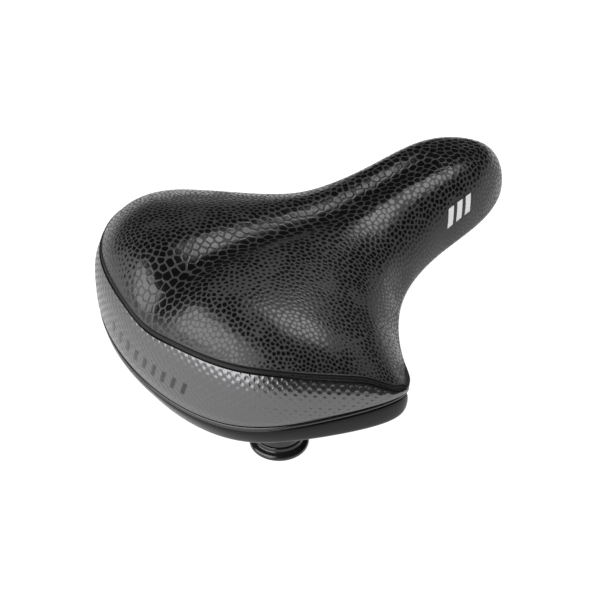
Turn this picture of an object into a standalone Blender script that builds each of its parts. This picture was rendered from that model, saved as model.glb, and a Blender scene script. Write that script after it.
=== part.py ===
"""Bicycle comfort saddle with a rear elastomer suspension, as separate closed solids.

Metres, +Z up, +Y towards the nose, +X the rider's right. The origin is the middle of the straight
rail section that a seatpost clamp grips, at the height of the rail axis. The drawing helpers below
work in millimetres from the saddle datum, which is RAIL_DROP above the rail axis and -CLAMP_Y
ahead of the clamp's middle; solid_from() moves every finished solid to the origin.
"""

import bmesh
import bpy
import numpy as np

# ---- frame
RAIL_DROP = 38.0  # saddle datum above the rail axis
CLAMP_Y = -9.0  # middle of the straight rail section, from the datum

# ---- outline of the cover seen from above: rear centre, round the wing, to the nose tip
HALF_WIDTHS = (0, 60.5, 94, 105, 83, 48, 32.5, 25, 0)
STATIONS = (-124.5, -112.5, -75.5, -32, -13.5, 16, 58, 101.5, 126.5)
WING_TIP = 0.41  # share of the half outline from the rear centre to the wing tip
WIDEST_Z = (15, 11, 3.5, 10, 15.5)  # height of the cover's widest line, rear to nose
EDGE_Z = (-11.5, 2, 0.5, 5.5, 10)  # height of the cover's lower edge, rear to nose
EDGE_INSET = (1.0, 0.6, 2.6)  # how far the lower edge is tucked under

# ---- seating surface
CROWN_Y = (-115, -75, -35, 5, 45, 95, 140)
CROWN_Z = (58, 58, 52, 46.5, 48.5, 45.5, 30)  # side profile along the middle
SHOULDER = (40, 33, 25, 20.5, 16.5)  # width of the rounded shoulder, rear to nose
SHOULDER_FULLNESS = (2.5, 2.2)
ARCH_Y = (-115, -60, -15, 20, 60, 127)
ARCH = (22, 30, 44, 33, 13, 1)  # fall of the crown from the middle to the outline
ARCH_POWER = 2.3
BLEND = 26.0  # how far along the saddle its width is evened out for the crown
CHANNEL_Y = (-125, -95, -60, -10, 30, 62, 80)
CHANNEL_DEPTH = (7.0, 6.6, 5.4, 5.0, 4.2, 3.0, 0.0)  # relief channel along the middle
CHANNEL_WIDTH = (17, 15, 12.5, 11.5, 9.5, 9.0, 9.0)
SPINE_REAR, SPINE_FRONT = 55.0, 28.0  # where the middle line starts and ends, from the outline

# ---- skin, panel and trim
SKIN = 1.6  # thickness of the coated cover fabric
FIT_GAP = 0.3  # air between neighbouring solids
MARGIN = 9.0  # cover margin turned under the base
SEAM_SHARES, SEAM_V = (0, 0.45, 0.8, 0.92, 1), (0.84, 0.67, 0.67, 1.1, 2.0)
BUMPER_HEIGHT = (14.0, 14.6, 20.0)  # rear centre, middle, wing tip
BUMPER_TUCK = (4.0, 1.2, -0.4)
PIPING_RADIUS = 1.1

# ---- base
BASE_THICKNESS = 3.5
BASE_RIM = 9.0  # flat rim that the cover is stapled to
BASE_RISE = 12.5
BASE_REAR_Z, BASE_NOSE_Z = 12.0, 17.0  # height of the raised middle

# ---- rails, 7 mm rod at the usual 44 mm spacing
ROD = 7.0
RAIL_SPACING = 44.0
HINGE_Y, HINGE_Z = 90.0, 2.0  # cross-axis at the nose that the rear swings about

# ---- rear suspension
SPRING_X, SPRING_Y = 52.5, -74.5
PLATE_TOP, PLATE_THICKNESS = -24.5, 2.5
SPRING_TOP = -0.3
BOLT = 6.0

COLUMNS_REAR, COLUMNS_FRONT = 15, 17


def spline(knots, values, at, ends=None):
    """Cubic spline through the values; ends holds the end slopes, None a natural end."""
    knots, values = np.asarray(knots, float), np.asarray(values, float)
    count = len(knots)
    step = np.diff(knots)
    left, right = np.zeros((count, count)), np.zeros(count)
    for i in range(1, count - 1):
        left[i, i - 1 : i + 2] = step[i - 1], 2 * (step[i - 1] + step[i]), step[i]
        right[i] = 6 * (
            (values[i + 1] - values[i]) / step[i] - (values[i] - values[i - 1]) / step[i - 1]
        )
    left[0, 0] = left[-1, -1] = 1
    if ends is not None:
        left[0, :2] = 2 * step[0], step[0]
        right[0] = 6 * ((values[1] - values[0]) / step[0] - ends[0])
        left[-1, -2:] = step[-1], 2 * step[-1]
        right[-1] = 6 * (ends[1] - (values[-1] - values[-2]) / step[-1])
    bend = np.linalg.solve(left, right)
    at = np.asarray(at, float)
    i = np.clip(np.searchsorted(knots, at, side="right") - 1, 0, count - 2)
    a, b = (knots[i + 1] - at) / step[i], (at - knots[i]) / step[i]
    cubic = ((a**3 - a) * bend[i] + (b**3 - b) * bend[i + 1]) * step[i] ** 2 / 6
    return a * values[i] + b * values[i + 1] + cubic


def even(values, at, ends=(0.0, 0.0)):
    """Spline over knots spread evenly from 0 to 1."""
    return spline(np.linspace(0, 1, len(values)), values, at, ends)


SHARES = np.concatenate(
    [
        np.linspace(0, WING_TIP, COLUMNS_REAR),
        np.linspace(WING_TIP, 1, COLUMNS_FRONT)[1:],
    ]
)


def outline(share):
    """Half outline points, and their outward normals in plan."""
    x, y = even(HALF_WIDTHS, share, None), even(STATIONS, share)
    e = 1e-4
    back, on = np.maximum(share - e, 0), np.minimum(share + e, 1)
    dx = even(HALF_WIDTHS, on, None) - even(HALF_WIDTHS, back, None)
    dy = even(STATIONS, on) - even(STATIONS, back)
    size = np.hypot(dx, dy)
    return np.stack([x, y], -1), np.stack([dy / size, -dx / size], -1)


def half_width(y):
    """Half the saddle's width about a station; behind the wing tips it stays at their width."""
    share = np.linspace(0.34, 1, 60)
    edge, _ = outline(share)
    widest = int(np.argmax(edge[:, 0]))
    wide = np.maximum(edge[widest:, 0], 18)
    shifts = np.linspace(-1, 1, 11)
    weights = (1 - shifts**2) / np.sum(1 - shifts**2)
    near = [w * np.interp(y + BLEND * t, edge[widest:, 1], wide) for t, w in zip(shifts, weights)]
    return sum(near)


def crown(x, y):
    """Height of the seating surface over a point in plan, before its rounded shoulder."""
    arch = np.maximum(spline(ARCH_Y, ARCH, np.clip(y, -125, 135)), 0)
    within = np.clip(y, CHANNEL_Y[0], CHANNEL_Y[-1])
    deep = np.maximum(spline(CHANNEL_Y, CHANNEL_DEPTH, within), 0)
    channel = deep * np.exp(-((x / spline(CHANNEL_Y, CHANNEL_WIDTH, within)) ** 2))
    middle = spline(CROWN_Y, CROWN_Z, np.clip(y, -125, 150))
    return middle - channel - arch * (np.abs(x) / half_width(y)) ** ARCH_POWER


def shell_point(share, v, depth=0.0):
    """Point of the surface that lies depth inside the cover's outside.

    v runs from -1 on the middle line to 0 where the shoulder starts, 1 on the widest line, 2 on
    the lower edge and 3 at the end of the margin turned under.
    """
    share, v = np.broadcast_arrays(np.asarray(share, float), np.asarray(v, float))
    edge, normal = outline(share)
    spine_y = np.interp(
        edge[..., 1],
        (STATIONS[0], STATIONS[-1]),
        (STATIONS[0] + SPINE_REAR, STATIONS[-1] - SPINE_FRONT),
    )
    edge = edge - normal * depth
    reach = np.hypot(edge[..., 0], edge[..., 1] - spine_y)
    shoulder = np.minimum(even(SHOULDER, share), reach * 0.9)
    widest, low = even(WIDEST_Z, share), even(EDGE_Z, share) + depth
    tuck = spline((0, 0.5, 1), EDGE_INSET, share, (0, 0))
    turn = np.clip(v, 0, 1) * np.pi / 2
    full_in, full_down = SHOULDER_FULLNESS
    inward = np.where(
        v < 0,
        shoulder + (reach - shoulder) * -v,
        shoulder * (1 - np.sin(turn) ** (2 / full_in)),
    )
    under = np.clip(v - 1, 0, 1)
    inward = np.where(v > 1, tuck * under**2, inward)
    inward = inward + np.clip(v - 2, 0, 1) * MARGIN
    pull = inward / reach
    x = edge[..., 0] * (1 - pull)
    y = edge[..., 1] + (spine_y - edge[..., 1]) * pull
    top = crown(x, y) - depth
    roll = 1 - np.maximum(np.cos(turn), 0) ** (2 / full_down)
    z = np.where(v > 1, widest + (low - widest) * under, top - (top - widest) * roll)
    return np.stack([x, y, z], -1)


def seam_v(share):
    """How far down the shoulder the cover meets the rear panel."""
    return np.interp(share / WING_TIP, SEAM_SHARES, SEAM_V)


def loop(right):
    """The whole outline from its right half: the left half is its mirror image."""
    left = right[-2:0:-1] * (-1, 1, 1)
    return np.concatenate([right, left])


# ---- meshes


def material(name, colour, roughness, metallic=0.0):
    found = bpy.data.materials.new(name)
    found.use_nodes = True
    shader = found.node_tree.nodes["Principled BSDF"]
    shader.inputs["Base Color"].default_value = (*colour, 1)
    shader.inputs["Roughness"].default_value = roughness
    shader.inputs["Metallic"].default_value = metallic
    return found


def solid_from(name, points, faces, look, smooth=True):
    """One object from millimetre points in the drawing frame, closed and facing out."""
    mesh = bpy.data.meshes.new(name)
    moved = (np.asarray(points, float) + (0, -CLAMP_Y, RAIL_DROP)) / 1000
    mesh.from_pydata([tuple(p) for p in moved], [], faces)
    work = bmesh.new()
    work.from_mesh(mesh)
    bmesh.ops.recalc_face_normals(work, faces=work.faces)
    work.to_mesh(mesh)
    work.free()
    for face in mesh.polygons:
        face.use_smooth = smooth
    found = bpy.data.objects.new(name, mesh)
    found.data.materials.append(look)
    bpy.context.scene.collection.objects.link(found)
    return found


def loops_solid(name, first, loops, last, look):
    """Body skinned over closed loops, shut by a line of points at each end."""
    half = len(first)
    ring = 2 * half - 2
    points = [*first]
    for one in loops:
        points.extend(one)
    points.extend(last)
    faces = []
    for k in range(len(loops) + 1):
        for j in range(ring):
            n = (j + 1) % ring
            if k == 0:
                a, b = min(j, ring - j), min(n, ring - n)
            else:
                a, b = half + (k - 1) * ring + j, half + (k - 1) * ring + n
            if k == len(loops):
                start = half + k * ring
                c, d = start + min(n, ring - n), start + min(j, ring - j)
            else:
                c, d = half + k * ring + n, half + k * ring + j
            faces.append((a, d, c, b))
    return solid_from(name, points, faces, look)


def swept(name, sections, look, smooth=True):
    """Body skinned over closed sections, with a flat face at each end."""
    count, corners = len(sections), len(sections[0])
    points = [p for section in sections for p in section]
    faces = []
    for k in range(count - 1):
        for j in range(corners):
            n = (j + 1) % corners
            a, b = k * corners + j, k * corners + n
            faces.append((a, b, b + corners, a + corners))
    faces.append(tuple(range(corners)))
    faces.append(tuple((count - 1) * corners + j for j in range(corners)))
    return solid_from(name, points, faces, look, smooth)


def turned(name, profile, x, y, look, sides=28, smooth=True):
    """Round body about a vertical axis from a closed profile of (radius, height)."""
    points, faces = [], []
    corners = len(profile)
    rows = []
    for radius, z in profile:
        if radius == 0:
            rows.append([len(points)] * sides)
            points.append((x, y, z))
            continue
        rows.append(list(range(len(points), len(points) + sides)))
        for i in range(sides):
            turn = 2 * np.pi * i / sides
            points.append((x + radius * np.cos(turn), y + radius * np.sin(turn), z))
    for k in range(corners):
        low, high = rows[k], rows[(k + 1) % corners]
        if low[0] == low[1] and high[0] == high[1]:
            continue
        for i in range(sides):
            n = (i + 1) % sides
            face = (low[i], low[n], high[n], high[i])
            faces.append(tuple(dict.fromkeys(face)))
    return solid_from(name, points, faces, look, smooth)


def rod(name, path, radius, look, sides=12):
    """Round rod along a smooth path."""
    path = np.asarray(path, float)
    along = np.gradient(path, axis=0)
    along /= np.linalg.norm(along, axis=1)[:, None]
    side = np.cross(along[0], (0, 0, 1))
    side /= np.linalg.norm(side)
    sections = []
    for point, way in zip(path, along):
        side = side - way * side.dot(way)
        side /= np.linalg.norm(side)
        up = np.cross(way, side)
        turns = 2 * np.pi * np.arange(sides) / sides
        sections.append([point + radius * (np.cos(a) * side + np.sin(a) * up) for a in turns])
    return swept(name, sections, look)


def bent(corners, radii, steps=5):
    """Path through straight legs joined by round bends of the given radii."""
    corners = [np.asarray(c, float) for c in corners]
    path = [corners[0]]
    for before, corner, after, radius in zip(corners, corners[1:], corners[2:], radii):
        to, on = before - corner, after - corner
        to /= np.linalg.norm(to)
        on /= np.linalg.norm(on)
        half = np.arccos(np.clip(to.dot(on), -1, 1)) / 2
        start = corner + to * radius / np.tan(half)
        middle = corner + (to + on) / np.linalg.norm(to + on) * radius / np.sin(half)
        a = start - middle
        b = corner + on * radius / np.tan(half) - middle
        sweep = np.pi - 2 * half
        for k in range(steps + 1):
            share = k / steps
            low, high = np.sin((1 - share) * sweep), np.sin(share * sweep)
            path.append(middle + (a * low + b * high) / np.sin(sweep))
    path.append(corners[-1])
    return path


def cut(target, cutters):
    """Take the cutters' volume out of the target."""
    for cutter in cutters:
        cutter.hide_render = True
        cutter.display_type = "WIRE"
        modifier = target.modifiers.new("cut", "BOOLEAN")
        modifier.operation = "DIFFERENCE"
        modifier.solver = "EXACT"
        modifier.object = cutter


def cylinder(name, radius, low, high, x, y, look, sides=24):
    profile = [(0, low), (radius, low), (radius, high), (0, high)]
    return turned(name, profile, x, y, look, sides)


for old in list(bpy.data.objects):
    bpy.data.objects.remove(old, do_unlink=True)

BLACK_SKIN = material("cover_black_pu", (0.018, 0.018, 0.019), 0.42)
SILVER_SKIN = material("panel_silver_pu", (0.30, 0.30, 0.31), 0.38, 0.35)
FOAM = material("pu_foam", (0.72, 0.68, 0.55), 0.9)
GEL = material("silicone_gel", (0.10, 0.32, 0.55), 0.25)
SHELL = material("base_black_pp", (0.02, 0.02, 0.021), 0.55)
GLOSS = material("trim_gloss_black", (0.012, 0.012, 0.013), 0.18)
STEEL = material("rail_black_steel", (0.035, 0.035, 0.037), 0.35, 0.6)
RUBBER = material("elastomer_black", (0.02, 0.02, 0.02), 0.6)
ZINC = material("zinc_plated_steel", (0.55, 0.55, 0.54), 0.32, 1.0)

RIGHT, LEFT = 1, -1
SIDES = (("left", LEFT), ("right", RIGHT))

# ---- top cover: down to the seam behind the wing tips, and turned under ahead of them
end_v = np.where(
    SHARES <= WING_TIP,
    seam_v(SHARES),
    np.minimum(3.0, 2.0 + (SHARES - WING_TIP) / 0.08),
)


CROWN_ROWS = (-1, -0.8, -0.6, -0.4, -0.2, 0)
SHOULDER_ROWS = (0.055, 0.11, 0.165, 0.22, 0.275, 0.333, 0.5, 0.667, 1)


def skin_rings(depth, end, shares_down):
    """Rings over the crown, then down the shoulder to end, at the given shares of the way."""
    rows = [np.full_like(SHARES, v) for v in CROWN_ROWS]
    rows += [end * f for f in shares_down]
    return [shell_point(SHARES, row, depth) for row in rows]


outside = skin_rings(0.0, end_v, SHOULDER_ROWS)
inside = skin_rings(SKIN, end_v, SHOULDER_ROWS)
loops = [loop(r) for r in outside[1:]] + [loop(r) for r in inside[:0:-1]]
loops_solid("top_cover", outside[0], loops, inside[0], BLACK_SKIN)

# ---- rear panel: from the seam to the lower edge, narrowing to a point at each wing tip
panel_shares = SHARES[SHARES <= WING_TIP * 0.985]
panel_shares = np.concatenate([-panel_shares[:0:-1], panel_shares])


def mirrored(share, v, depth):
    """shell_point for a share below 0 too, which is the left side."""
    point = shell_point(abs(share), v, depth)
    return point * (np.sign(share) or 1, 1, 1)


sections = []
for share in panel_shares:
    start = seam_v(abs(share)) + 0.028
    rows = start + (2.0 - start) * np.array([0, 0.08, 0.16, 0.25, 0.5, 0.75, 1])
    section = [mirrored(share, v, 0.0) for v in rows]
    section += [mirrored(share, v, SKIN) for v in rows[::-1]]
    sections.append(section)
swept("rear_panel", sections, SILVER_SKIN)

# ---- piping and bumper along the panel's lower edge
trim_shares = SHARES[SHARES <= WING_TIP * 1.001]
trim_shares = np.concatenate([-trim_shares[:0:-1], trim_shares])


def trim_section(share, profile):
    """Points (inset, height) about the lower edge, in the plane across it."""
    edge, normal = outline(abs(share))
    tuck = spline((0, 0.5, 1), EDGE_INSET, abs(share), (0, 0))
    low = even(EDGE_Z, abs(share))
    side = np.sign(share) or 1
    found = []
    for inset, z in profile:
        plan = edge - normal * (tuck + inset)
        found.append((plan[0] * side, plan[1], low + z))
    return found


turns = 2 * np.pi * np.arange(8) / 8
piping = [(1.0 + PIPING_RADIUS * np.cos(a), -1.5 + PIPING_RADIUS * np.sin(a)) for a in turns]
swept("edge_piping", [trim_section(s, piping) for s in trim_shares], GLOSS)

sections = []
for share in trim_shares:
    part = min(abs(share) / WING_TIP, 1.0)
    height = np.interp(part, (0, 0.5, 1), BUMPER_HEIGHT) * (0.45 + 0.55 * (1 - part**8) ** 0.5)
    tuck = np.interp(part, (0, 0.5, 1), BUMPER_TUCK)
    profile = [
        (0.6, -3.0),
        (tuck * 0.35 + 0.1, -height * 0.5),
        (tuck + 0.2, -height + 2.2),
        (tuck + 1.2, -height + 0.5),
        (tuck + 3.0, -height),
        (tuck + 4.2, -height + 1.4),
        (tuck * 0.6 + 4.2, -height * 0.5 - 1.2),
        (5.4, -2.6),
        (13.0, -2.6),
        (13.0, 0.9),
        (4.4, 0.9),
        (3.4, -3.0),
    ]
    sections.append(trim_section(share, profile))
bumper = swept("rear_bumper", sections, GLOSS)

# ---- moulded base: flat rim, raised middle
BASE_INSET = SKIN + 2 * FIT_GAP


def setback(share):
    """Extra inset of the base and foam where the wing tips grow too thin to hold them."""
    return np.interp(share, (0.27, 0.4, 0.62, 0.75), (0, 10, 7, 0))


def base_rings(lift, insets):
    """Rings of the base surface, lift above its underside."""
    rings = []
    edge, normal = outline(SHARES)
    tuck = spline((0, 0.5, 1), EDGE_INSET, SHARES, (0, 0))
    spine_y = np.interp(
        edge[:, 1],
        (STATIONS[0], STATIONS[-1]),
        (STATIONS[0] + SPINE_REAR, STATIONS[-1] - SPINE_FRONT),
    )
    start = edge - normal * (tuck + BASE_INSET + setback(SHARES))[:, None]
    rim_z = even(EDGE_Z, SHARES) + SKIN + FIT_GAP
    for inset in insets:
        reach = np.hypot(start[:, 0], start[:, 1] - spine_y)
        # None is the middle line itself
        pull = np.ones_like(reach) if inset is None else np.minimum(inset, reach * 0.93) / reach
        x = start[:, 0] * (1 - pull)
        y = start[:, 1] + (spine_y - start[:, 1]) * pull
        scale = np.clip(reach / 60, 0.3, 1)
        rise = np.clip((pull * reach - BASE_RIM * scale) / (BASE_RISE * scale), 0, 1)
        rise = rise * rise * (3 - 2 * rise)
        middle = np.interp(y, (20, 80), (BASE_REAR_Z, BASE_NOSE_Z)) - BASE_THICKNESS
        lifted = rim_z + (np.maximum(middle, rim_z) - rim_z) * rise
        if inset is None:
            lifted = np.interp(y, (20, 80), (BASE_REAR_Z, BASE_NOSE_Z)) - BASE_THICKNESS
        rings.append(np.stack([x, y, lifted + lift], -1))
    return rings


BASE_INSETS = (0, 4, BASE_RIM, 12, 15, 18, BASE_RIM + BASE_RISE, 30, None)
under = base_rings(0.0, BASE_INSETS)
over = base_rings(BASE_THICKNESS, BASE_INSETS)
loops = [loop(r) for r in over[-2::-1]] + [loop(r) for r in under[:-1]]
base = loops_solid("base_shell", over[-1], loops, under[-1], SHELL)

# ---- foam: fills the space between the base and the skin, with a pocket for each gel pad
GEL_X, GEL_Y, GEL_LONG, GEL_WIDE, GEL_DEEP = 40.0, -46.0, 28.0, 24.0, 7.0

shoulder = even(SHOULDER, SHARES)
foam_end = np.arcsin((1 - (setback(SHARES) + 0.01) / shoulder) ** (SHOULDER_FULLNESS[0] / 2))
foam_end *= 2 / np.pi
top = skin_rings(SKIN + 4 * FIT_GAP, foam_end, (0.167, 0.333, 0.5, 0.667, 0.833, 1))
floor = base_rings(BASE_THICKNESS + 5 * FIT_GAP, BASE_INSETS)
wall = floor[0].copy()
loops = [loop(r) for r in top[1:]] + [loop(wall)] + [loop(r) for r in floor[1:-1]]
foam = loops_solid("foam_pad", top[0], loops, floor[-1], FOAM)

cutters = []
for side_name, side in SIDES:
    turns = 2 * np.pi * np.arange(24) / 24
    reaches = (0.0, 0.35, 0.6, 0.8, 1.0)
    for name, grow, lift, look in (
        (f"gel_insert_{side_name}", 0.0, 0.0, GEL),
        (f"gel_pocket_{side_name}", 0.7, 6.0, FOAM),
    ):
        sections = []
        for reach in reaches:
            x = side * (GEL_X + (GEL_WIDE + grow) * reach * np.cos(turns))
            y = GEL_Y + (GEL_LONG + grow) * reach * np.sin(turns)
            z = crown(x, y) - SKIN - 5 * FIT_GAP + lift
            sections.append(np.stack([x, y, z], -1))
        for reach in reaches[::-1]:
            x = side * (GEL_X + (GEL_WIDE + grow) * reach * np.cos(turns))
            y = GEL_Y + (GEL_LONG + grow) * reach * np.sin(turns)
            bowl = 2.5 + (GEL_DEEP - 2.5) * np.sqrt(1 - 0.98 * reach**2)
            z = crown(x, y) - SKIN - 5 * FIT_GAP - bowl - (0.5 if grow else 0)
            sections.append(np.stack([x, y, z], -1))
        points, faces = [sections[0][0]], []
        for section in sections[1:-1]:
            points.extend(section)
        points.append(sections[-1][0])
        rings = len(sections) - 2
        for i in range(24):
            n = (i + 1) % 24
            faces.append((0, 1 + i, 1 + n))
            faces.append((len(points) - 1, 1 + (rings - 1) * 24 + n, 1 + (rings - 1) * 24 + i))
            for k in range(rings - 1):
                a, b = 1 + k * 24 + i, 1 + k * 24 + n
                faces.append((a, a + 24, b + 24, b))
        made = solid_from(name, points, faces, look)
        if grow:
            cutters.append(made)
cut(foam, cutters)

# ---- rails: straight in the clamp zone, ends turned in at the nose, spread at the rear
for side_name, side in SIDES:
    half = RAIL_SPACING / 2 * side
    legs = [
        (side * 1.2, HINGE_Y, HINGE_Z),
        (side * 15.6, HINGE_Y, HINGE_Z),
        (side * 16, 45, -12.5),
        (half, 28, -RAIL_DROP),
        (half, -39, -RAIL_DROP),
        (side * 31, -58, PLATE_TOP - PLATE_THICKNESS - FIT_GAP - ROD / 2),
        (side * 31, -86, PLATE_TOP - PLATE_THICKNESS - FIT_GAP - ROD / 2),
    ]
    path = bent(legs, (5.5, 24, 20, 24, 24))
    rod(f"rail_{side_name}", path, ROD / 2, STEEL)

# ---- rear bridge plate, joined to the rails and holding both elastomers
plate = []
for z in (PLATE_TOP - PLATE_THICKNESS, PLATE_TOP):
    ring = []
    for side in (RIGHT, LEFT):
        turns = np.linspace(-np.pi / 2, np.pi / 2, 9)
        ring += [
            (side * (SPRING_X + 19 * np.cos(side * a)), SPRING_Y + 19 * np.sin(side * a), z)
            for a in turns
        ]
        ring.append((0, SPRING_Y + side * 12 - 1, z))
    plate.append(ring)
bridge = swept("rear_bridge", plate, STEEL, smooth=False)

holes, base_holes, foam_holes = [], [], []
for side_name, side in SIDES:
    x, y = side * SPRING_X, SPRING_Y
    shank = BOLT / 2
    base_under = BASE_REAR_Z - BASE_THICKNESS
    turned(
        f"upper_cup_{side_name}",
        [(3.6, 0), (14.4, 0), (14.4, -2.5), (16.0, -2.5), (16.6, -1.8), (16.6, 4.4),
         (12.5, 7.6), (3.6, 7.6)],
        x, y, SHELL,
    )
    turned(
        f"elastomer_{side_name}",
        [(4, SPRING_TOP), (4, -24.2), (13, -24.2), (13.8, -23), (13.8, -16), (12.4, -14),
         (12.4, -12.6), (13.8, -10.6), (13.8, -3.2), (13.8, SPRING_TOP)],
        x, y, RUBBER,
    )
    turned(
        f"rebound_bush_{side_name}",
        [(4, -27.4), (4, -37.6), (12.6, -37.6), (13, -37.2), (13, -28.2), (12.2, -27.4)],
        x, y, RUBBER,
    )
    turned(
        f"lower_cap_{side_name}",
        [(3.6, -38), (3.6, -41.0), (8.5, -41.0), (8.5, -45), (15.3, -45), (16.3, -44),
         (16.3, -42.4), (15.4, -41.3), (13.6, -40.4), (13.1, -38)],
        x, y, GLOSS,
    )
    turned(
        f"suspension_bolt_{side_name}",
        [(0, -44), (shank, -44), (shank, BASE_REAR_Z + 0.3), (6.5, BASE_REAR_Z + 0.3),
         (6.0, BASE_REAR_Z + 2.2), (3.5, BASE_REAR_Z + 3.2), (0, BASE_REAR_Z + 3.4)],
        x, y, ZINC, 20,
    )
    turned(
        f"lock_nut_{side_name}",
        [(3.8, -41.3), (3.8, -44.6), (5.6, -44.6), (6.2, -44.0), (6.2, -41.3)],
        x, y, ZINC, 6, False,
    )
    holes.append(cylinder(f"bridge_hole_{side_name}", 5.0, -30, -20, x, y, STEEL))
    base_holes.append(cylinder(f"base_hole_{side_name}", 3.6, 0, 20, x, y, STEEL))
    foam_holes.append(cylinder(f"foam_hole_{side_name}", 7.2, 5, BASE_REAR_Z + 4.2, x, y, STEEL))
cut(bridge, holes)
cut(foam, foam_holes)

# ---- nose hinge: socket under the base, closed from below by a steel clip
socket_top = BASE_NOSE_Z - BASE_THICKNESS - 1.8
socket_profile = [(-10, socket_top), (-10, -2.2), (-3.9, -2.2)]
for a in np.linspace(np.pi, 0, 9):
    socket_profile.append((3.9 * np.cos(a), HINGE_Z + 3.9 * np.sin(a)))
socket_profile += [(3.9, -2.2), (10, -2.2), (10, socket_top)]
sections = [[(x, HINGE_Y + q, z) for q, z in socket_profile] for x in (-11, 11)]
socket = swept("nose_socket", sections, SHELL, smooth=False)
clip_profile = [(-10, -2.6), (-10, -5.0), (10, -5.0), (10, -2.6)]
sections = [[(x, HINGE_Y + q, z) for q, z in clip_profile] for x in (-11, 11)]
clip = swept("nose_clip", sections, ZINC, smooth=False)

socket_holes, clip_holes = [], []
for end_name, end in (("rear", -1), ("front", 1)):
    y = HINGE_Y + end * 7.0
    turned(
        f"clip_screw_{end_name}",
        [(0, -7.4), (3.4, -7.4), (3.6, -6.6), (3.4, -5.3), (1.9, -5.3), (1.9, 8.6), (1.2, 10),
         (0, 10)],
        0, y, ZINC, 16,
    )
    clip_holes.append(cylinder(f"clip_hole_{end_name}", 2.3, -7, 0, 0, y, ZINC, 16))
    socket_holes.append(cylinder(f"socket_hole_{end_name}", 2.2, -7, 10.6, 0, y, ZINC, 16))
cut(socket, socket_holes)
cut(clip, clip_holes)

# ---- bumper screws, up through the bumper flange into the base rim
bumper_holes = []
for place_name, share in (("outer_left", -0.3), ("inner_left", -0.16),
                          ("inner_right", 0.16), ("outer_right", 0.3)):
    x, y, z = trim_section(share, [(10.0, 0)])[0]
    turned(
        f"bumper_screw_{place_name}",
        [(0, z - 5.9), (3.2, z - 5.9), (3.4, z - 5.3), (3.2, z - 4.0), (1.8, z - 4.0),
         (1.8, z + 3.8), (1.0, z + 4.6), (0, z + 4.6)],
        x, y, ZINC, 16,
    )
    bumper_holes.append(cylinder(f"bumper_hole_{place_name}", 2.2, z - 5, z + 2.4, x, y, GLOSS, 16))
    base_holes.append(cylinder(f"rim_hole_{place_name}", 2.2, z + 0.6, z + 5.1, x, y, SHELL, 16))
cut(bumper, bumper_holes)
cut(base, base_holes)
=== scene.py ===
"""Bicycle comfort saddle: the looks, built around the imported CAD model.

The drawing helpers work in millimetres from the saddle datum, as the CAD does; place() moves a
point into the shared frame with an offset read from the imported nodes.
"""

import bmesh
import bpy
import numpy as np
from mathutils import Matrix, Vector, noise
from mathutils.kdtree import KDTree


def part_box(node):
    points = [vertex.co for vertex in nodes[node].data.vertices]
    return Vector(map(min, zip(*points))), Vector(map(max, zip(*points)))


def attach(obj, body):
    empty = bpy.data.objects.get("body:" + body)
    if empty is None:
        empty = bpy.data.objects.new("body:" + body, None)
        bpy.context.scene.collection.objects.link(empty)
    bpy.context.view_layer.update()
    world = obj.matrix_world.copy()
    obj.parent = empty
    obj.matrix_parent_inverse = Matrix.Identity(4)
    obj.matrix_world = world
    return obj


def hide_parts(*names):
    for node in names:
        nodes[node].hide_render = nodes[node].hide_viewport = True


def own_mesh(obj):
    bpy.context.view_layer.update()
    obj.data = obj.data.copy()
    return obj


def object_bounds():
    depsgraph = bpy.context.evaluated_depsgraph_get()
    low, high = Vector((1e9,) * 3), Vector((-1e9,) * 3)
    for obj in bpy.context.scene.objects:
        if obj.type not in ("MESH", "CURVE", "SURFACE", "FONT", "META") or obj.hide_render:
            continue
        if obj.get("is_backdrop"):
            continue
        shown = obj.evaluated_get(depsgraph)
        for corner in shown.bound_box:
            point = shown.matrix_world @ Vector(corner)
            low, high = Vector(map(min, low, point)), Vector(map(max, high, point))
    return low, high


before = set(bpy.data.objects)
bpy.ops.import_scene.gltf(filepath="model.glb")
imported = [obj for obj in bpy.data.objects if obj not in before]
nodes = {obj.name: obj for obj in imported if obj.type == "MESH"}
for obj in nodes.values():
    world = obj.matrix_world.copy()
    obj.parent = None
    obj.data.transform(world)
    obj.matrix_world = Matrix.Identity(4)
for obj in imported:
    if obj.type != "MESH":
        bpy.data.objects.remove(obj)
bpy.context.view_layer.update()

# ---- the saddle's shape, as the CAD draws it
HALF_WIDTHS = (0, 60.5, 94, 105, 83, 48, 32.5, 25, 0)
STATIONS = (-124.5, -112.5, -75.5, -32, -13.5, 16, 58, 101.5, 126.5)
WING_TIP = 0.41
WIDEST_Z = (15, 11, 3.5, 10, 15.5)
EDGE_Z = (-11.5, 2, 0.5, 5.5, 10)
EDGE_INSET = (1.0, 0.6, 2.6)
CROWN_Y = (-115, -75, -35, 5, 45, 95, 140)
CROWN_Z = (58, 58, 52, 46.5, 48.5, 45.5, 30)
SHOULDER = (40, 33, 25, 20.5, 16.5)
SHOULDER_FULLNESS = (2.5, 2.2)
ARCH_Y = (-115, -60, -15, 20, 60, 127)
ARCH = (22, 30, 44, 33, 13, 1)
ARCH_POWER = 2.3
BLEND = 26.0
CHANNEL_Y = (-125, -95, -60, -10, 30, 62, 80)
CHANNEL_DEPTH = (7.0, 6.6, 5.4, 5.0, 4.2, 3.0, 0.0)
CHANNEL_WIDTH = (17, 15, 12.5, 11.5, 9.5, 9.0, 9.0)
SPINE_REAR, SPINE_FRONT = 55.0, 28.0
SKIN = 1.6
MARGIN = 9.0
SEAM_SHARES, SEAM_V = (0, 0.45, 0.8, 0.92, 1), (0.84, 0.67, 0.67, 1.1, 2.0)
BUMPER_HEIGHT = (14.0, 14.6, 20.0)
BUMPER_TUCK = (4.0, 1.2, -0.4)
PIPING_RADIUS = 1.1
SPRING_X, SPRING_Y = 52.5, -74.5
PLATE_TOP, PLATE_THICKNESS = -24.5, 2.5
ROD, RAIL_SPACING, RAIL_DROP = 7.0, 44.0, 38.0
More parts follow.
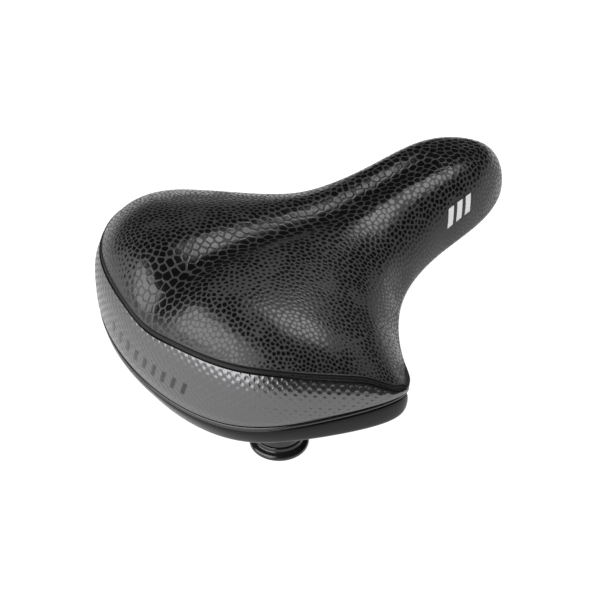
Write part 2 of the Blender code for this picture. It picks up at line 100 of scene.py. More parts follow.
HINGE_Y, HINGE_Z = 90.0, 2.0
SOCKET_HALF = 10.0
BASE_UNDER = 8.5
FIT_GAP = 0.3

# the drawing datum in the shared frame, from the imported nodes
OFFSET = np.array(
    (
        0.0,
        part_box("nose_socket")[0].y * 1000 - (HINGE_Y - SOCKET_HALF),
        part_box("rear_bridge")[1].z * 1000 - PLATE_TOP,
    )
)


def place(points):
    return (np.asarray(points, float) + OFFSET) / 1000


def spline(knots, values, at, ends=None):
    """Cubic spline through the values; ends holds the end slopes, None a natural end."""
    knots, values = np.asarray(knots, float), np.asarray(values, float)
    count = len(knots)
    step = np.diff(knots)
    left, right = np.zeros((count, count)), np.zeros(count)
    for i in range(1, count - 1):
        left[i, i - 1 : i + 2] = step[i - 1], 2 * (step[i - 1] + step[i]), step[i]
        right[i] = 6 * (
            (values[i + 1] - values[i]) / step[i] - (values[i] - values[i - 1]) / step[i - 1]
        )
    left[0, 0] = left[-1, -1] = 1
    if ends is not None:
        left[0, :2] = 2 * step[0], step[0]
        right[0] = 6 * ((values[1] - values[0]) / step[0] - ends[0])
        left[-1, -2:] = step[-1], 2 * step[-1]
        right[-1] = 6 * (ends[1] - (values[-1] - values[-2]) / step[-1])
    bend = np.linalg.solve(left, right)
    at = np.asarray(at, float)
    i = np.clip(np.searchsorted(knots, at, side="right") - 1, 0, count - 2)
    a, b = (knots[i + 1] - at) / step[i], (at - knots[i]) / step[i]
    cubic = ((a**3 - a) * bend[i] + (b**3 - b) * bend[i + 1]) * step[i] ** 2 / 6
    return a * values[i] + b * values[i + 1] + cubic


def even(values, at, ends=(0.0, 0.0)):
    return spline(np.linspace(0, 1, len(values)), values, at, ends)


def outline(share):
    """Half outline points, and their outward normals in plan."""
    x, y = even(HALF_WIDTHS, share, None), even(STATIONS, share)
    e = 1e-4
    back, on = np.maximum(share - e, 0), np.minimum(share + e, 1)
    dx = even(HALF_WIDTHS, on, None) - even(HALF_WIDTHS, back, None)
    dy = even(STATIONS, on) - even(STATIONS, back)
    size = np.hypot(dx, dy)
    return np.stack([x, y], -1), np.stack([dy / size, -dx / size], -1)


def half_width(y):
    share = np.linspace(0.34, 1, 60)
    edge, _ = outline(share)
    widest = int(np.argmax(edge[:, 0]))
    wide = np.maximum(edge[widest:, 0], 18)
    shifts = np.linspace(-1, 1, 11)
    weights = (1 - shifts**2) / np.sum(1 - shifts**2)
    near = [w * np.interp(y + BLEND * t, edge[widest:, 1], wide) for t, w in zip(shifts, weights)]
    return sum(near)


def crown(x, y):
    """Height of the seating surface over a point in plan, before its rounded shoulder."""
    arch = np.maximum(spline(ARCH_Y, ARCH, np.clip(y, -125, 135)), 0)
    within = np.clip(y, CHANNEL_Y[0], CHANNEL_Y[-1])
    deep = np.maximum(spline(CHANNEL_Y, CHANNEL_DEPTH, within), 0)
    channel = deep * np.exp(-((x / spline(CHANNEL_Y, CHANNEL_WIDTH, within)) ** 2))
    middle = spline(CROWN_Y, CROWN_Z, np.clip(y, -125, 150))
    return middle - channel - arch * (np.abs(x) / half_width(y)) ** ARCH_POWER


def spine(edge_y):
    """Where on the middle line the surface line from this outline station starts."""
    ends = (STATIONS[0] + SPINE_REAR, STATIONS[-1] - SPINE_FRONT)
    return np.interp(edge_y, (STATIONS[0], STATIONS[-1]), ends)


def shell_point(share, v, depth=0.0):
    """v: -1 middle line, 0 shoulder, 1 widest line, 2 lower edge, 3 end of the turned margin."""
    share, v = np.broadcast_arrays(np.asarray(share, float), np.asarray(v, float))
    edge, normal = outline(share)
    spine_y = spine(edge[..., 1])
    edge = edge - normal * np.asarray(depth)[..., None]
    reach = np.hypot(edge[..., 0], edge[..., 1] - spine_y)
    shoulder = np.minimum(even(SHOULDER, share), reach * 0.9)
    widest, low = even(WIDEST_Z, share), even(EDGE_Z, share) + depth
    tuck = spline((0, 0.5, 1), EDGE_INSET, share, (0, 0))
    turn = np.clip(v, 0, 1) * np.pi / 2
    full_in, full_down = SHOULDER_FULLNESS
    inward = np.where(
        v < 0,
        shoulder + (reach - shoulder) * -v,
        shoulder * (1 - np.sin(turn) ** (2 / full_in)),
    )
    under = np.clip(v - 1, 0, 1)
    inward = np.where(v > 1, tuck * under**2, inward)
    inward = inward + np.clip(v - 2, 0, 1) * MARGIN
    pull = inward / reach
    x = edge[..., 0] * (1 - pull)
    y = edge[..., 1] + (spine_y - edge[..., 1]) * pull
    top = crown(x, y) - depth
    roll = 1 - np.maximum(np.cos(turn), 0) ** (2 / full_down)
    z = np.where(v > 1, widest + (low - widest) * under, top - (top - widest) * roll)
    return np.stack([x, y, z], -1)


def seam_v(share):
    """How far down the shoulder the cover meets the rear panel, smoothed along the seam."""
    share = np.asarray(share, float)
    window = np.clip((WING_TIP - share) / 0.05, 0, 1) * 0.028
    found = 0
    for step in np.linspace(-1, 1, 9):
        found = found + np.interp(abs(share + step * window) / WING_TIP, SEAM_SHARES, SEAM_V) / 9
    return found


def smooth(low, high, at):
    t = np.clip((at - low) / (high - low), 0, 1)
    return t * t * (3 - 2 * t)


# ---- meshes


def mesh_object(name, points, quads, shade=True):
    """Object from millimetre points in the drawing frame and a list or array of faces."""
    mesh = bpy.data.meshes.new(name)
    if isinstance(quads, list):
        mesh.from_pydata([tuple(p) for p in place(points)], [], quads)
    else:
        mesh.vertices.add(len(points))
        mesh.vertices.foreach_set("co", place(points).astype(np.float32).ravel())
        count = len(quads)
        mesh.loops.add(count * 4)
        mesh.loops.foreach_set("vertex_index", quads.astype(np.int32).ravel())
        mesh.polygons.add(count)
        mesh.polygons.foreach_set("loop_start", np.arange(0, count * 4, 4, dtype=np.int32))
        mesh.update(calc_edges=True)
    mesh.polygons.foreach_set("use_smooth", np.full(len(mesh.polygons), shade))
    mesh.update()
    found = bpy.data.objects.new(name, mesh)
    bpy.context.scene.collection.objects.link(found)
    return found


def normals_of(found):
    normals = np.zeros(len(found.data.vertices) * 3, np.float32)
    found.data.vertex_normals.foreach_get("vector", normals)
    return normals.reshape(-1, 3).astype(float)


def move_points(found, shift_mm):
    """Moves each vertex along its own normal, in millimetres."""
    mesh = found.data
    points = np.zeros(len(mesh.vertices) * 3, np.float32)
    mesh.vertices.foreach_get("co", points)
    points = points.reshape(-1, 3) + normals_of(found) * (np.asarray(shift_mm)[:, None] / 1000)
    mesh.vertices.foreach_set("co", points.astype(np.float32).ravel())
    mesh.update()


def paint(found, name, values):
    layer = found.data.attributes.new(name, "FLOAT", "POINT")
    layer.data.foreach_set("value", np.asarray(values, np.float32))


def lofted(sections):
    """Points and faces of a body skinned over closed sections, with both ends closed."""
    sections = np.asarray(sections, float)
    count, corners = sections.shape[:2]
    k, j = np.meshgrid(np.arange(count - 1), np.arange(corners), indexing="ij")
    n = (j + 1) % corners
    here, beyond = k * corners, (k + 1) * corners
    faces = np.stack([here + j, here + n, beyond + n, beyond + j], -1)
    faces = [tuple(f) for f in faces.reshape(-1, 4)]
    faces.append(tuple(range(corners))[::-1])
    faces.append(tuple((count - 1) * corners + j for j in range(corners)))
    return sections.reshape(-1, 3), faces


def gathered(bodies):
    """Points and faces of several lofted bodies as one mesh."""
    points, faces = [], []
    for sections in bodies:
        more, quads = lofted(sections)
        faces += [tuple(i + len(points) for i in quad) for quad in quads]
        points.extend(more)
    return points, faces


def distance_down(points):
    """Distance along each column of a grid of points, from its first row."""
    steps = np.linalg.norm(np.diff(points, axis=0), axis=2)
    return np.concatenate([np.zeros((1, points.shape[1])), np.cumsum(steps, axis=0)])


def recalc(found):
    work = bmesh.new()
    work.from_mesh(found.data)
    bmesh.ops.recalc_face_normals(work, faces=work.faces)
    work.to_mesh(found.data)
    work.free()
    found.data.update()


def apply_modifiers(found):
    graph = bpy.context.evaluated_depsgraph_get()
    mesh = bpy.data.meshes.new_from_object(found.evaluated_get(graph))
    found.modifiers.clear()
    found.data = mesh


# ---- snakeskin: one site for each scale, larger along the middle


def scale_size(x, y):
    """Pitch of the embossed scales at a point of the flattened cover, in millimetres."""
    off = np.abs(x) * (1 + 0.4 * smooth(0, 60, y))
    side = np.interp(off, (0, 18, 50, 95), (3.4, 3.2, 2.7, 2.2))
    middle = np.interp(y, (-110, -60, 0, 50, 110), (5.6, 5.4, 5.4, 4.8, 4.4))
    reach = np.interp(y, (-115, -80, 0), (15, 11, 11))
    return side + (middle - side) * np.exp(-((x / reach) ** 2))


def scatter(flat, seed):
    """Sites over the flattened cover, spaced by scale_size, then evened out into near-hexagons."""
    rng = np.random.default_rng(seed)
    candidates = flat[rng.permutation(len(flat))[:120000]]
    sizes = scale_size(candidates[:, 0], candidates[:, 1]) * 0.80
    cell = 2.0
    grid, sites = {}, []
    for (x, y), size in zip(candidates.tolist(), sizes.tolist()):
        i, j = int(x // cell), int(y // cell)
        reach = int(size // cell) + 1
        clear = True
        for a in range(i - reach, i + reach + 1):
            for b in range(j - reach, j + reach + 1):
                for u, w in grid.get((a, b), ()):
                    if (u - x) ** 2 + (w - y) ** 2 < size * size:
                        clear = False
                        break
                if not clear:
                    break
            if not clear:
                break
        if clear:
            grid.setdefault((i, j), []).append((x, y))
            sites.append((x, y))
    sites = np.array(sites)
    weight = 1 / scale_size(candidates[:, 0], candidates[:, 1]) ** 2
    for _ in range(2):
        owner, _ = nearest(sites, candidates, 1)
        total = np.bincount(owner[:, 0], weight, len(sites))
        for axis in (0, 1):
            pulled = np.bincount(owner[:, 0], weight * candidates[:, axis], len(sites))
            sites[:, axis] = np.where(total > 0, pulled / np.maximum(total, 1e-9), sites[:, axis])
    return sites


def nearest(sites, at, count):
    tree = KDTree(len(sites))
    for i, (x, y) in enumerate(sites.tolist()):
        tree.insert((x, y, 0), i)
    tree.balance()
    found = np.zeros((len(at), count), int)
    apart = np.zeros((len(at), count))
    for k, (x, y) in enumerate(at.tolist()):
        hits = tree.find_n((x, y, 0), count)
        for c, (_, index, far) in enumerate(hits):
            found[k, c] = index
            apart[k, c] = far
    return found, apart


def scale_fields(flat, sites, seed):
    """Mask, relief in mm and a random tone for each point of the flattened cover."""
    rng = np.random.default_rng(seed)
    tone = rng.random(len(sites))
    size = scale_size(sites[:, 0], sites[:, 1])
    patch = np.array([noise.noise((x / 21, y / 21, 3.7)) for x, y in sites.tolist()])
    patch += 0.5 * np.array([noise.noise((x / 9, y / 9, 8.1)) for x, y in sites.tolist()])
    found, apart = nearest(sites, flat, 4)
    first = found[:, 0]
    inside = np.full(len(flat), 99.0)
    for c in range(1, 4):
        other = found[:, c]
        gap = np.linalg.norm(sites[other] - sites[first], axis=1)
        distance = (apart[:, c] ** 2 - apart[:, 0] ** 2) / (2 * gap)
        low, high = np.minimum(first, other), np.maximum(first, other)
        merged = ((low * 7919 + high * 104729) % 997) / 997 < 0.07
        merged &= size[first] > 3.2
        inside = np.minimum(inside, np.where(merged, 99.0, distance))
    own = size[first]
    rounded = 0.60 * own - apart[:, 0]
    inside = np.minimum(inside, rounded)
    # away from the middle the scales come and go in patches
    away = smooth(4.2, 2.6, own)
    thin = away * smooth(0.0, -0.5, patch[first])
    gap = own * (0.062 + 0.03 * away + 0.17 * thin + 0.05 * (tone[first] - 0.5))
    mask = smooth(-0.03, 0.17, inside - gap)
    relief = 0.09 * smooth(-0.1, 0.45, inside - gap) * np.clip(own / 4.5, 0.55, 1)
    return mask, relief, tone[first]


# ---- cover, panel


EDGE_BAND = 8.0  # finer rows this near the edge, for the fold and its stitches


def radial_rows(shares, ends, fine, coarse, fine_end):
    """v of each row: even steps along the surface to fine_end, then coarse ones to the end."""
    dense = np.linspace(0, 1, 500)[:, None]
    stop = np.minimum(ends, fine_end)
    v = -1 + (stop + 1) * dense
    along = distance_down(shell_point(shares[None, :], v))
    rows = []
    near_edge = fine // 8
    marks = np.concatenate([
        np.linspace(0, 1, fine - near_edge, endpoint=False), np.linspace(1, 2, near_edge)
    ])
    for mark in marks:
        target = np.where(
            mark < 1, (along[-1] - EDGE_BAND) * mark, along[-1] - EDGE_BAND * (2 - mark)
        )
        rows.append([np.interp(t, along[:, c], v[:, c]) for c, t in enumerate(target)])
    rows = np.array(rows)
    rest = np.linspace(0, 1, coarse + 1)[1:, None]
    return np.concatenate([rows, stop + (ends - stop) * rest])


def flatten(shares, v):
    """The cover's points laid flat: distance from the middle line kept along each radial line."""
    along = distance_down(shell_point(shares[None, :], v))
    edge, _ = outline(shares)
    start = spine(edge[:, 1])
    way = np.stack([edge[:, 0], edge[:, 1] - start], -1)
    way /= np.linalg.norm(way, axis=1)[:, None]
    return np.stack([way[:, 0] * along, start + way[:, 1] * along], -1), along


def ring_faces(half, count):
    """Quads over count closed rings between two shared middle lines, all seen from outside."""
    ring = 2 * half - 2
    j = np.arange(ring)
    n = (j + 1) % ring

    def row(k, index):
        if k == 0:
            return np.minimum(index, ring - index)
        if k == count + 1:
            return half + count * ring + np.minimum(index, ring - index)
        return half + (k - 1) * ring + index

    faces = []
    for k in range(count + 1):
        faces.append(np.stack([row(k, j), row(k, n), row(k + 1, n), row(k + 1, j)], -1))
    return np.concatenate(faces)


def both_sides(values, mirror=False):
    """Right half then left half of a ring's values; mirror flips the first coordinate."""
    left = values[..., -2:0:-1, :] if values.ndim == 3 else values[:, -2:0:-1]
    if mirror:
        left = left * ((-1,) + (1,) * (values.shape[-1] - 1))
    return np.concatenate([values, left], axis=1)


COLUMNS = 820
ROWS = 400

share_dense = np.linspace(0, 1, 4000)
edge_dense, _ = outline(share_dense)
along_dense = np.concatenate([[0], np.cumsum(np.linalg.norm(np.diff(edge_dense, axis=0), axis=1))])


def even_shares(stop, count):
    """Outline stations from the rear to this one, evenly spaced along the edge."""
    reach = np.interp(stop, share_dense, along_dense)
    return np.interp(np.linspace(0, reach, count), along_dense, share_dense)


shares = even_shares(1.0, COLUMNS)
tip = int(np.argmin(abs(shares - WING_TIP)))
shares[tip] = WING_TIP

# at the rear the cover ends on the seam, and in front of the wings it turns under the rim
turned_under = np.minimum(3.0, 2.0 + (shares - WING_TIP) / 0.08)
cover_end = np.where(shares <= WING_TIP, seam_v(np.minimum(shares, WING_TIP)), turned_under)
v_rows = radial_rows(shares, cover_end, ROWS, 16, 1.25)
outer = shell_point(shares[None, :], v_rows)
flat, along = flatten(shares, v_rows)
inner_rows = -1 + (cover_end + 1) * np.linspace(1, 0, 14)[:, None]
inner = shell_point(shares[None, :], inner_rows, SKIN)

half = len(shares)
rings = [both_sides(outer, True)[1:], both_sides(inner, True)[:-1]]
points = np.concatenate([outer[0], *(r.reshape(-1, 3) for r in rings), inner[-1]])
count = len(rings[0]) + len(rings[1])
cover = mesh_object("cover", points, ring_faces(half, count))

flat_all = both_sides(flat, True)[1:].reshape(-1, 2)
flat_all = np.concatenate([flat[0], flat_all])
sites = scatter(flat_all, 11)
mask, relief, tone = scale_fields(flat_all, sites, 5)

# the folded edge above the seam, its row of stitches in a shallow groove
STITCH_IN = 3.3
to_edge = along[-1] - along
fold_here = smooth(WING_TIP, WING_TIP * 0.93, shares)
fold = 0.35 * smooth(STITCH_IN, 2.0, to_edge) - 0.5 * np.exp(-(((to_edge - STITCH_IN) / 0.5) ** 2))
fold -= 0.7 * smooth(1.0, 0.0, to_edge)
fold = fold * fold_here
plain = smooth(0.5, 1.4, abs(to_edge - STITCH_IN)) * (1 - 0.55 * smooth(STITCH_IN, 3.0, to_edge))
plain = plain * fold_here + (1 - fold_here) * smooth(0, 20, to_edge)
# painted shade: this mask darkens the cover's colour in the sunk stitch line and along the cover's
# edge next to the panel, and darkens the folded strip between them
painted_seam_shade = np.exp(-(((to_edge - STITCH_IN) / 0.42) ** 2)) + smooth(0.7, 0.2, to_edge)
painted_seam_shade += 0.65 * smooth(STITCH_IN + 0.3, STITCH_IN - 0.3, to_edge)
painted_seam_shade = np.clip(painted_seam_shade, 0, 1) * fold_here
painted_seam_shade_all = np.concatenate([painted_seam_shade[0], both_sides(painted_seam_shade)[1:].ravel()])
fold_all = np.concatenate([fold[0], both_sides(fold)[1:].ravel()])
plain_all = np.concatenate([plain[0], both_sides(plain)[1:].ravel()])


def padded_to(values, count):
    return np.concatenate([values, np.zeros(count - len(values))])


total = len(cover.data.vertices)
move_points(cover, padded_to(relief * (0.25 + 0.75 * plain_all) + fold_all, total))
paint(cover, "scale", padded_to(mask * (0.35 + 0.65 * plain_all), total))
paint(cover, "tone", padded_to(tone, total))
paint(cover, "painted_seam_shade", padded_to(painted_seam_shade_all, total))

# ---- silver rear panel: an embossed net of small rounded squares
PANEL_COLUMNS, PANEL_ROWS = ((900, 110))
panel_half = even_shares(WING_TIP * 0.985, PANEL_COLUMNS // 2)
panel_shares = np.concatenate([-panel_half[:0:-1], panel_half])
start = seam_v(abs(panel_shares)) - 0.03
drop = np.linspace(0, 1, PANEL_ROWS)[:, None]
panel_v = start + (2.02 - start) * drop


def signed(points, signs):
    return points * np.stack([signs, np.ones_like(signs), np.ones_like(signs)], -1)


signs = np.where(panel_shares < 0, -1.0, 1.0)
# padded: it swells below the seam, and its upper edge rolls in and dives under the folded cover
fullness = 1 - 0.8 * smooth(0.12, 0.28, abs(panel_shares))
roll = fullness * np.clip(1 - (panel_v - start) / 0.34, 0, 1) ** 2
sunk = 0.25 - 0.75 * smooth(0.0, 0.16, drop) * smooth(1.0, 0.75, drop) + 0.9 * roll
sunk = np.minimum(sunk + (1.2 - 0.65 * fullness) * smooth(0.06, 0.0, panel_v - start), 1.55)
face = signed(shell_point(abs(panel_shares)[None, :], panel_v, sunk), signs)
down = distance_down(face)
across = np.interp(abs(panel_shares), share_dense, along_dense) * np.sign(panel_shares)
back_v = start + (2.02 - start) * np.linspace(1, 0, 6)[:, None]
back = signed(shell_point(abs(panel_shares)[None, :], back_v, SKIN + 0.2), signs)
sections = np.concatenate([face, back]).transpose(1, 0, 2)
corners = sections.shape[1]
panel_points = sections.reshape(-1, 3)
k, j = np.meshgrid(np.arange(len(sections) - 1), np.arange(corners), indexing="ij")
n = (j + 1) % corners
panel_faces = np.stack(
    [k * corners + j, (k + 1) * corners + j, (k + 1) * corners + n, k * corners + n], -1
).reshape(-1, 4)
panel = mesh_object("panel", panel_points, panel_faces)

PITCH = 2.55
bump = np.cos(np.pi * across[None, :] / PITCH) * np.cos(np.pi * down / PITCH)
bump = smooth(0.02, 0.40, bump)
fade = smooth(0.8, 3.0, down) * smooth(0.0, 5.0, down[-1] - down)
bump = bump * fade * (0.55 + 0.45 * smooth(30.0, 14.0, down))
# plain slanted bars pressed into the middle of the panel
BARS, BAR_PITCH, BAR_WIDTH, BAR_HEIGHT = 9, 8.0, 3.0, 9.0
leaning = across[None, :] + 0.35 * (down - down[-1] * 0.62)
slot = leaning - BAR_PITCH * np.round(leaning / BAR_PITCH)
bars = smooth(BAR_WIDTH / 2 + 0.25, BAR_WIDTH / 2 - 0.25, abs(slot))
bars = bars * smooth(BAR_HEIGHT / 2 + 0.25, BAR_HEIGHT / 2 - 0.25, abs(down - down[-1] * 0.62))
bars = bars * (abs(across[None, :]) < BAR_PITCH * BARS / 2)
bump_all = np.zeros((len(panel_shares), corners))
bars_all = np.zeros((len(panel_shares), corners))
bump_all[:, :PANEL_ROWS] = (bump * (1 - bars)).T
bars_all[:, :PANEL_ROWS] = bars.T
BOSS_HEIGHT, BAR_DEPTH = 0.28, 0.12
move_points(panel, (BOSS_HEIGHT * bump_all - BAR_DEPTH * bars_all).ravel())
paint(panel, "bars", bars_all.ravel())

# ---- piping and bumper


def trim_section(share, profile):
    """Points (inset, height) about the lower edge, in the plane across it."""
    edge, normal = outline(abs(share))
    tuck = spline((0, 0.5, 1), EDGE_INSET, abs(share), (0, 0))
    low = even(EDGE_Z, abs(share))
    side = np.sign(share) or 1
    return [
        ((edge - normal * (tuck + inset))[0] * side, (edge - normal * (tuck + inset))[1], low + z)
        for inset, z in profile
    ]


trim_half = even_shares(WING_TIP, 110)
trim_shares = np.concatenate([-trim_half[:0:-1], trim_half])
turns = 2 * np.pi * np.arange(16) / 16
round_profile = [(1.0 + PIPING_RADIUS * np.cos(t), -1.5 + PIPING_RADIUS * np.sin(t)) for t in turns]
piping = mesh_object("piping", *lofted([trim_section(s, round_profile) for s in trim_shares]))
recalc(piping)

sections = []
for share in trim_shares:
    part = min(abs(share) / WING_TIP, 1.0)
    height = np.interp(part, (0, 0.5, 1), BUMPER_HEIGHT) * (0.45 + 0.55 * (1 - part**8) ** 0.5)
    tuck = np.interp(part, (0, 0.5, 1), BUMPER_TUCK)
    profile = [
        (0.6, -3.0),
        (tuck * 0.35 + 0.1, -height * 0.5),
        (tuck + 0.2, -height + 2.2),
        (tuck + 1.2, -height + 0.5),
        (tuck + 3.0, -height),
        (tuck + 4.2, -height + 1.4),
        (tuck * 0.6 + 4.2, -height * 0.5 - 1.2),
        (5.4, -2.6),
        (13.0, -2.6),
        (13.0, 0.9),
        (4.4, 0.9),
        (3.4, -3.0),
    ]
    sections.append(trim_section(share, profile))
bumper = mesh_object("bumper", *lofted(sections))
recalc(bumper)
rounding = bumper.modifiers.new("round", "SUBSURF")
rounding.levels = rounding.render_levels = 2
apply_modifiers(bumper)

# ---- rows of short strands: stitches along the seam, staples under the rim


def mirrored_path(right):
    return np.concatenate([right[:0:-1] * (-1, 1, 1), right])


def strands(name, path, pitch, length, radius, dip=0.0):
    """One object of short rounded strands laid end to end along a path."""
    steps = np.linalg.norm(np.diff(path, axis=0), axis=1)
    run = np.concatenate([[0], np.cumsum(steps)])
    shares_along = np.array((-0.5, -0.42, -0.2, 0.2, 0.42, 0.5)) * length
    thickness = np.array((0.35, 0.85, 1.0, 1.0, 0.85, 0.35)) * radius
    sides = 8
    turns = 2 * np.pi * np.arange(sides) / sides
    bodies = []
    for middle in np.arange(pitch / 2, run[-1] - pitch / 2, pitch):
        at = middle + shares_along
        line = np.stack([np.interp(at, run, path[:, c]) for c in range(3)], -1)
        line[[0, -1], 2] -= dip
        way = (line[-1] - line[0]) / np.linalg.norm(line[-1] - line[0])
        side = np.cross(way, (0, 0, 1))
        side /= np.linalg.norm(side)
        up = np.cross(side, way)
        circle = np.cos(turns)[:, None] * side + np.sin(turns)[:, None] * up
        bodies.append(line[:, None, :] + thickness[:, None, None] * circle[None])
    return mesh_object(name, *gathered(bodies))


def line_at(inset, columns):
    """Points of the cover at this distance in from its edge, sunk a little."""
    found = []
    for c in columns:
        v = np.interp(inset, to_edge[::-1, c], v_rows[::-1, c])
        found.append(shell_point(shares[c], v, -0.02))
    return np.array(found)


rear_columns = np.nonzero(shares <= WING_TIP * 0.97)[0]
stitches = strands("stitches", mirrored_path(line_at(STITCH_IN, rear_columns)), 4.0, 2.5, 0.34, 0.3)
recalc(stitches)

STAPLE_SHARES = np.linspace(0.47, 0.99, 60)
staple_line = shell_point(STAPLE_SHARES, np.full(60, 2.80)) - (0, 0, 0.1)
staples = strands("staples", mirrored_path(staple_line[::-1])[::-1], 9.0, 5.5, 0.45, 0.2)
recalc(staples)

# ---- printed mark on the right of the nose: three slanted bars
MARK_START, MARK_STEP, MARK_WIDTH, MARK_SLANT = 0.764, 0.020, 0.0115, 0.012
MARK_V = np.linspace(0.54, 0.76, 12)
mark_bars = []
for index in range(3):
    first = MARK_START + index * MARK_STEP + MARK_SLANT * (MARK_V[::-1] - MARK_V[0]) / 0.22
    spread = np.linspace(0, MARK_WIDTH, 7)[None, :] + first[:, None]
    top_face = shell_point(spread, MARK_V[:, None], -0.22)
    low_face = shell_point(spread, MARK_V[:, None], 0.3)
    mark_bars.append(np.concatenate([top_face, low_face[:, ::-1]], axis=1))
nose_mark = mesh_object("nose_mark", *gathered(mark_bars), False)
recalc(nose_mark)

# ---- rear suspension: turned parts with rounded corners


def rounded(profile, radius, steps=4):
    """Closed profile with each corner replaced by a short arc."""
    profile = np.asarray(profile, float)
    found = []
    for before, corner, after in zip(np.roll(profile, 1, 0), profile, np.roll(profile, -1, 0)):
        to, on = before - corner, after - corner
        size_to, size_on = np.linalg.norm(to), np.linalg.norm(on)
        reach = min(radius, 0.45 * size_to, 0.45 * size_on)
        start, stop = corner + to / size_to * reach, corner + on / size_on * reach
        for t in np.linspace(0, 1, steps + 1):
            found.append((1 - t) ** 2 * start + 2 * t * (1 - t) * corner + t * t * stop)
    return np.array(found)


def turned(name, profile, x, y, sides=72):
    """Ring-shaped body about a vertical axis from a closed profile of (radius, height)."""
    turns = 2 * np.pi * np.arange(sides) / sides
    corners = len(profile)
    points = [(x + r * np.cos(t), y + r * np.sin(t), z) for t in turns for r, z in profile]
    i, j = np.meshgrid(np.arange(sides), np.arange(corners), indexing="ij")
    n, m = (i + 1) % sides, (j + 1) % corners
    quads = np.stack([i * corners + j, n * corners + j, n * corners + m, i * corners + m], -1)
    found = mesh_object(name, points, quads.reshape(-1, 4))
    recalc(found)
    return found


SIDES = (("left", -1), ("right", 1))
suspension = []
for side_name, side in SIDES:
    x, y = side * SPRING_X, SPRING_Y
    cup = [(3.6, 0), (14.4, 0), (14.4, -2.5), (16.0, -2.5), (16.6, -1.8), (16.6, 4.4),
           (12.5, 7.6), (3.6, 7.6)]
    spring = [(4, -0.3), (4, -24.2), (13, -24.2), (13.8, -22.4), (13.8, -16.6), (12.3, -14.4),
              (12.3, -12.4), (13.8, -10.2), (13.8, -2.0), (12.9, -0.3)]
    bush = [(4, -27.4), (4, -37.6), (12.6, -37.6), (13, -37.2), (13, -33.4), (12.4, -32.8),
            (13, -32.2), (13, -28.2), (12.2, -27.4)]
    cap = [(3.6, -38), (3.6, -41.0), (8.5, -41.0), (8.5, -45), (15.3, -45), (16.3, -44),
           (16.3, -42.4), (15.4, -41.3), (13.6, -40.4), (13.1, -38)]
    for kind, profile, radius in (
        ("upper_cup", cup, 0.7), ("elastomer", spring, 1.2), ("rebound_bush", bush, 0.5),
        ("lower_cap", cap, 0.8),
    ):
        suspension.append((turned(f"{kind}_{side_name}_fine", rounded(profile, radius), x, y),
                           kind, side_name))

# ---- rails: 7 mm rod, turned in at the nose and spread at the rear


def bent(corners, radii, steps=14):
    """Path through straight legs joined by round bends of the given radii."""
    corners = [np.asarray(c, float) for c in corners]
    path = [corners[0]]
    for before, corner, after, radius in zip(corners, corners[1:], corners[2:], radii):
        to, on = before - corner, after - corner
        to /= np.linalg.norm(to)
        on /= np.linalg.norm(on)
        bend = np.arccos(np.clip(to.dot(on), -1, 1)) / 2
        first = to * radius / np.tan(bend)
        last = on * radius / np.tan(bend)
        middle = (to + on) / np.linalg.norm(to + on) * radius / np.sin(bend)
        sweep = np.pi - 2 * bend
        for k in range(steps + 1):
            low, high = np.sin((1 - k / steps) * sweep), np.sin(k / steps * sweep)
            arc = ((first - middle) * low + (last - middle) * high) / np.sin(sweep)
            path.append(corner + middle + arc)
    path.append(corners[-1])
    return path


def rod(name, path, radius, sides=32):
    """Round rod along a path, its ends slightly chamfered."""
    path = np.asarray(path, float)
    along = np.gradient(path, axis=0)
    along /= np.linalg.norm(along, axis=1)[:, None]
    path = np.concatenate([path[:1], path[:1] + along[:1] * 0.7, path[1:-1],
                           path[-1:] - along[-1:] * 0.7, path[-1:]])
    along = np.concatenate([along[:1], along, along[-1:]])
    wide = np.full(len(path), radius)
    wide[[0, -1]] = radius - 0.7
    side = np.cross(along[0], (0, 0, 1))
    turns = 2 * np.pi * np.arange(sides) / sides
    sections = []
    for point, way, reach in zip(path, along, wide):
        side = side - way * side.dot(way)
        side /= np.linalg.norm(side)
        circle = np.cos(turns)[:, None] * side + np.sin(turns)[:, None] * np.cross(way, side)
        sections.append(point + reach * circle)
    found = mesh_object(name, *lofted(sections))
    recalc(found)
    return found


rails = []
rear_z = PLATE_TOP - PLATE_THICKNESS - FIT_GAP - ROD / 2
for side_name, side in SIDES:
    rail_x = RAIL_SPACING / 2 * side
    legs = [
        (side * 1.2, HINGE_Y, HINGE_Z),
        (side * 15.6, HINGE_Y, HINGE_Z),
        (side * 16, 45, -12.5),
        (rail_x, 28, -RAIL_DROP),
        (rail_x, -39, -RAIL_DROP),
        (side * 31, -58, rear_z),
        (side * 31, -86, rear_z),
    ]
    path = bent(legs, (5.5, 24, 20, 24, 24))
    rails.append((rod(f"rail_{side_name}_fine", path, ROD / 2), side_name))

# ---- ribs moulded under the base


def rib(start, stop, height=5.0, thickness=2.2):
    """Sections of a straight tapered rib between two plan points, under the base's flat middle."""
    start, stop = np.array(start, float), np.array(stop, float)
    way = (stop - start) / np.linalg.norm(stop - start)
    across_way = np.array((way[1], -way[0]))
    profile = [(-0.5, 0.4), (-0.5, -0.2), (-0.34, -height * 0.8), (-0.26, -height),
               (0.26, -height), (0.34, -height * 0.8), (0.5, -0.2), (0.5, 0.4)]
    sections = []
    for share, drop in ((0, 0.25), (0.06, 1), (0.94, 1), (1, 0.25)):
        at = start + (stop - start) * share
        sections.append([
            (*(at + across_way * q * thickness), BASE_UNDER + (z * drop if z < 0 else z))
            for q, z in profile
        ])
    return sections


RIBS = [((x, -92), (x, 14)) for x in (-22, 0, 22)]
RIBS += [((-32, -58), (-32, -10)), ((32, -58), (32, -10))]
RIBS += [((-30, y), (30, y)) for y in (-88, -66)] + [((-50, y), (50, y)) for y in (-44, -20)]
RIBS += [((-22, 4), (22, 4))]
ribs = mesh_object("base_ribs", *gathered([rib(*ends) for ends in RIBS]), False)
recalc(ribs)
